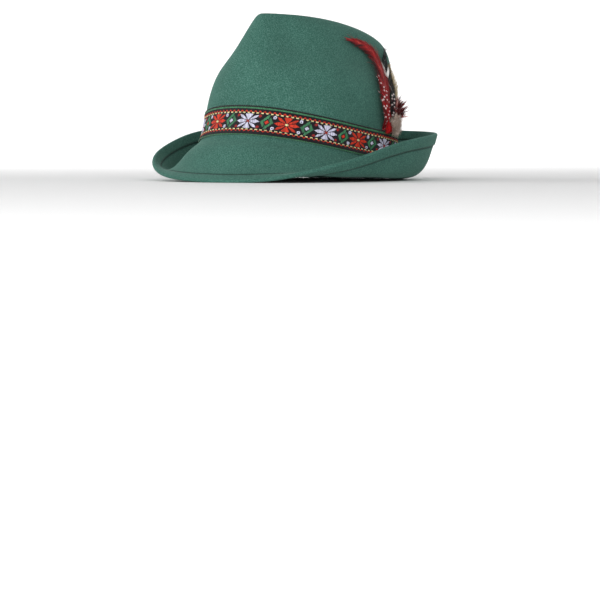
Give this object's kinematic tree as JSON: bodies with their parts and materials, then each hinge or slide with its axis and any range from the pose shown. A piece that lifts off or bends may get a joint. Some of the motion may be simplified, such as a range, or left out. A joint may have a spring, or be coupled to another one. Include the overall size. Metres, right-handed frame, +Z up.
{
  "type": "tyrolean hat",
  "caption": "Soft felt hat with a creased tapering crown, a brim turned up behind and down in front, a woven ribbon and a small plume of feathers at its side.",
  "frame": {"origin": "centre of the bounding box's base, on the plane that the hat lies on", "axes": "+Z up, -Y towards the front of the hat, +X towards the wearer's left, where the plume is"},
  "size_m": [0.2548, 0.2902, 0.1591],
  "materials": {
    "green_felt": "soft mottled wool felt, matt",
    "woven_ribbon": "jacquard woven ribbon with a slight sheen",
    "dark_red_feather": "soft dyed feather",
    "red_dotted_feather": "dyed feather with white dots",
    "red_feather": "glossy dyed hackle",
    "black_dotted_feather": "black feather with white dots",
    "black_feather": "glossy black hackle with a white streak",
    "tan_feather": "smooth tan feather",
    "grey_down": "fluffy down",
    "red_fluff": "fluffy dark red down"
  },
  "bodies": {
    "root": {"felt_body": "green_felt", "hat_band": "woven_ribbon", "red_tuft": "dark_red_feather", "red_dotted_feather": "red_dotted_feather", "red_hackle": "red_feather", "black_dotted_feather": "black_dotted_feather", "black_hackle": "black_feather", "tan_feather": "tan_feather", "grey_down": "grey_down", "red_fluff": "red_fluff"}
  },
  "joints": []
}
